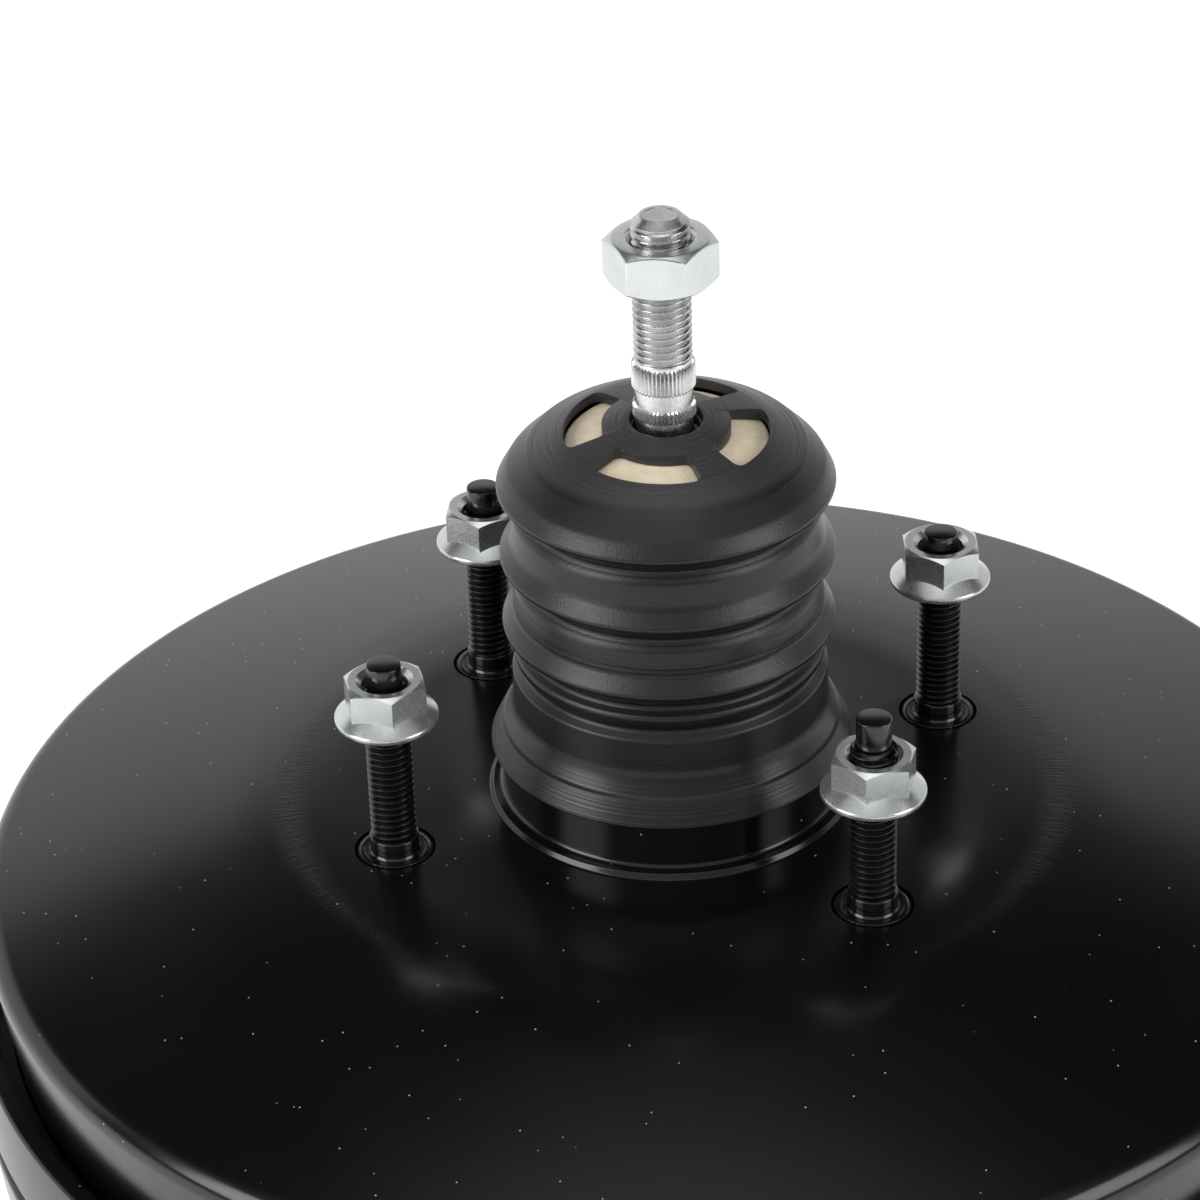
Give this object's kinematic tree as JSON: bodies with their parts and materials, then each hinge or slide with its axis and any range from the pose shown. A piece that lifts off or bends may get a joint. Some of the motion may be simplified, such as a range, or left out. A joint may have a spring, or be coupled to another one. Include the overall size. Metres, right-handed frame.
{
  "type": "vacuum brake booster",
  "caption": "Round black vacuum brake booster with threaded push rod, bellows boot, flange-nutted firewall studs and a sliding power piston inside.",
  "frame": {"origin": "middle of the firewall stud pattern, on the rear shell's flat mounting face", "axes": "+Z along the push rod towards the pedal, +X along the long side of the stud pattern"},
  "size_m": [0.2554, 0.2554, 0.2455],
  "materials": {
    "shell_paint": "semi-gloss black paint with fine dust specks",
    "black_studs": "black e-coated steel, gloss",
    "zinc_plate": "bright clear zinc plating",
    "rod_zinc": "zinc plated forged and rolled steel",
    "boot_rubber": "matte black moulded rubber with fine turned lines",
    "seal_rubber": "matte black rubber",
    "cream_foam": "open-cell foam, cream",
    "white_felt": "pressed felt",
    "black_plastic": "glass-filled nylon",
    "white_plastic": "acetal",
    "body_plastic": "moulded phenolic",
    "plate_steel": "plain pressed steel, lightly oiled",
    "bright_steel": "turned steel",
    "spring_steel": "spring wire"
  },
  "bodies": {
    "shell": {"rear_shell": "shell_paint", "stud_plate": "plate_steel", "firewall_studs": "black_studs", "firewall_nuts": "zinc_plate", "front_shell": "shell_paint", "front_plate": "plate_steel", "master_cylinder_studs": "black_studs", "front_seal": "seal_rubber", "check_valve_grommet": "seal_rubber", "check_valve": "black_plastic", "hub_bearing": "white_plastic", "hub_seal": "seal_rubber", "seal_retainer": "zinc_plate", "return_spring": "spring_steel"},
    "power_piston": {"valve_body": "body_plastic", "diaphragm_plate": "plate_steel", "diaphragm": "seal_rubber", "stop_key": "zinc_plate", "poppet_valve": "seal_rubber", "poppet_spring": "spring_steel", "valve_retainer": "zinc_plate", "rod_return_spring": "spring_steel", "filter_support": "white_plastic", "inner_filter": "white_felt", "foam_filter": "cream_foam", "dust_boot": "boot_rubber", "reaction_disc": "seal_rubber", "output_rod": "bright_steel", "output_rod_clip": "spring_steel", "output_rod_screw": "bright_steel"},
    "valve_plunger": {"plunger": "bright_steel"},
    "pedal_rod": {"push_rod": "rod_zinc", "rod_spring_seat": "zinc_plate", "push_rod_nut": "zinc_plate"}
  },
  "joints": [
    {"name": "piston_slide", "type": "slide", "parent": "shell", "child": "power_piston", "axis": [0, 0, -1], "range_m": [0, 0.032], "stiffness_N_per_m": 2500, "springref_m": -0.05, "deforming": ["return_spring", "dust_boot", "diaphragm"]},
    {"name": "valve_slide", "type": "slide", "parent": "power_piston", "child": "valve_plunger", "axis": [0, 0, -1], "range_m": [0, 0.0015], "stiffness_N_per_m": 2000, "springref_m": -0.015, "deforming": ["poppet_valve", "poppet_spring", "rod_return_spring"]},
    {"name": "rod_tilt", "type": "hinge", "parent": "valve_plunger", "child": "pedal_rod", "pos_m": [0, 0, 0.008], "axis": [1, 0, 0], "range_deg": [-2.5, 2.5], "stiffness_Nm_per_rad": 0.8, "deforming": ["inner_filter", "foam_filter"]}
  ]
}
